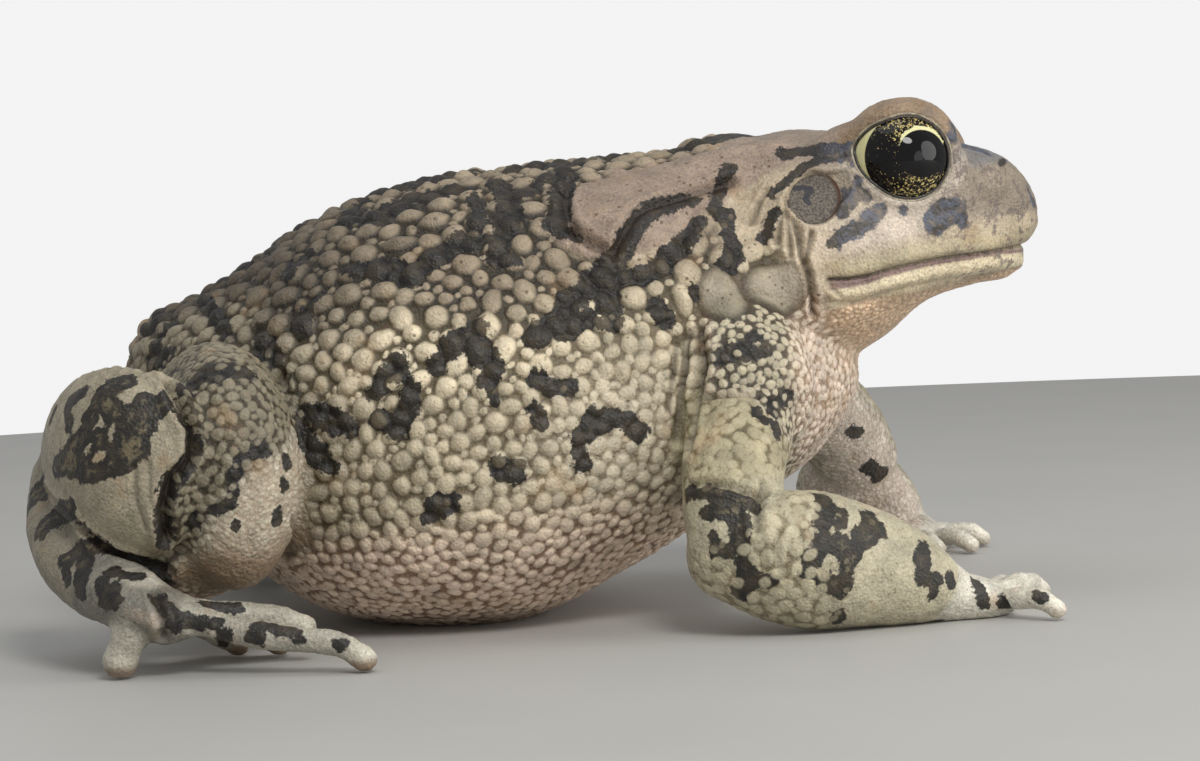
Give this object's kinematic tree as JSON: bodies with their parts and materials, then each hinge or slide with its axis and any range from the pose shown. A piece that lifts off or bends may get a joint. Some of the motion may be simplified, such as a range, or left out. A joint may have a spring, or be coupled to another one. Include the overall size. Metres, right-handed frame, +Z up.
{
  "type": "toad",
  "caption": "Life-size still model of a raucous toad sitting with its head raised, warty and blotched, resting on its belly, hands and feet.",
  "frame": {"origin": "centre of the flat under the belly, on the floor that the belly, hands and toes rest on", "axes": "+X towards the snout, +Z up, the toad's right side at -Y"},
  "size_m": [0.1072, 0.1021, 0.0528],
  "materials": {
    "skin": "moist warty skin, beige with dark brown blotches",
    "gland": "smooth pitted gland skin",
    "eye": "wet glossy eyeball",
    "ear": "thin ear drum skin"
  },
  "bodies": {
    "root": {"eye_left": "eye", "eye_right": "eye", "finger_left_1": "skin", "finger_left_2": "skin", "finger_left_3": "skin", "finger_left_4": "skin", "finger_right_1": "skin", "finger_right_2": "skin", "finger_right_3": "skin", "finger_right_4": "skin", "foot_left": "skin", "foot_right": "skin", "forearm_left": "skin", "forearm_right": "skin", "hand_left": "skin", "hand_right": "skin", "head": "skin", "lower_jaw": "skin", "parotoid_left": "gland", "parotoid_right": "gland", "shank_left": "skin", "shank_right": "skin", "tarsus_left": "skin", "tarsus_right": "skin", "thigh_left": "skin", "thigh_right": "skin", "toe_left_1": "skin", "toe_left_2": "skin", "toe_left_3": "skin", "toe_left_4": "skin", "toe_left_5": "skin", "toe_right_1": "skin", "toe_right_2": "skin", "toe_right_3": "skin", "toe_right_4": "skin", "toe_right_5": "skin", "torso": "skin", "tympanum_left": "ear", "tympanum_right": "ear", "upper_arm_left": "skin", "upper_arm_right": "skin"}
  },
  "joints": []
}
